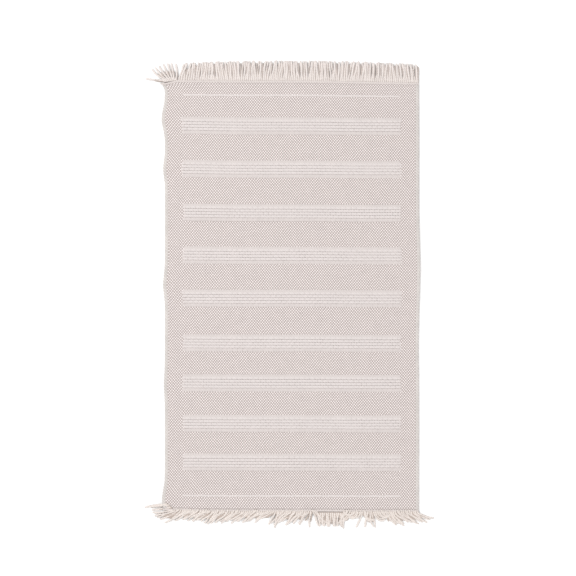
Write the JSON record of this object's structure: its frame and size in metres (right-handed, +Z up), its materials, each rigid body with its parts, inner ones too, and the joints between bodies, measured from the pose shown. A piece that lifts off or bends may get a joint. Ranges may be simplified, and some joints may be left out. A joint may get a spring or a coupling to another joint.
{
  "type": "bath mat",
  "caption": "Flat-woven cream cotton bath mat with raised weft bands across it, a loose warp fringe at both ends and a fold across its middle.",
  "frame": {"origin": "on the floor under the middle of the mat's outer box, fringes included", "axes": "+X across the mat's width, +Y along its length to the far end, +Z up out of its upper face"},
  "size_m": [0.661, 1.1022, 0.0066],
  "materials": {
    "ground_yarn": "matt cotton plain weave, cream white with greige specks",
    "relief_yarn": "matt cotton cord, a little lighter than the ground",
    "edge_yarn": "matt cotton edge cord",
    "fringe_yarn": "matt twisted cotton yarn, loose ends"
  },
  "bodies": {
    "near_half": {"ground_cloth_near": "ground_yarn", "selvedge_left_near": "edge_yarn", "selvedge_right_near": "edge_yarn", "header_row_near": "edge_yarn", "accent_line_near": "relief_yarn", "relief_band_5": "relief_yarn", "relief_band_6": "relief_yarn", "relief_band_7": "relief_yarn", "relief_band_8": "relief_yarn", "relief_band_9": "relief_yarn", "fringe_near_01": "fringe_yarn", "fringe_near_02": "fringe_yarn", "fringe_near_03": "fringe_yarn", "fringe_near_04": "fringe_yarn", "fringe_near_05": "fringe_yarn", "fringe_near_06": "fringe_yarn", "fringe_near_07": "fringe_yarn", "fringe_near_08": "fringe_yarn", "fringe_near_09": "fringe_yarn", "fringe_near_10": "fringe_yarn", "fringe_near_11": "fringe_yarn", "fringe_near_12": "fringe_yarn", "fringe_near_13": "fringe_yarn", "fringe_near_14": "fringe_yarn", "fringe_near_15": "fringe_yarn", "fringe_near_16": "fringe_yarn"},
    "far_half": {"ground_cloth_far": "ground_yarn", "selvedge_left_far": "edge_yarn", "selvedge_right_far": "edge_yarn", "header_row_far": "edge_yarn", "accent_line_far": "relief_yarn", "relief_band_1": "relief_yarn", "relief_band_2": "relief_yarn", "relief_band_3": "relief_yarn", "relief_band_4": "relief_yarn", "fringe_far_01": "fringe_yarn", "fringe_far_02": "fringe_yarn", "fringe_far_03": "fringe_yarn", "fringe_far_04": "fringe_yarn", "fringe_far_05": "fringe_yarn", "fringe_far_06": "fringe_yarn", "fringe_far_07": "fringe_yarn", "fringe_far_08": "fringe_yarn", "fringe_far_09": "fringe_yarn", "fringe_far_10": "fringe_yarn", "fringe_far_11": "fringe_yarn", "fringe_far_12": "fringe_yarn", "fringe_far_13": "fringe_yarn", "fringe_far_14": "fringe_yarn", "fringe_far_15": "fringe_yarn", "fringe_far_16": "fringe_yarn"}
  },
  "joints": [
    {"name": "half_fold", "type": "hinge", "parent": "near_half", "child": "far_half", "pos_m": [0, 0.021, 0.0095], "axis": [1, 0, 0], "range_deg": [0, 180]}
  ]
}
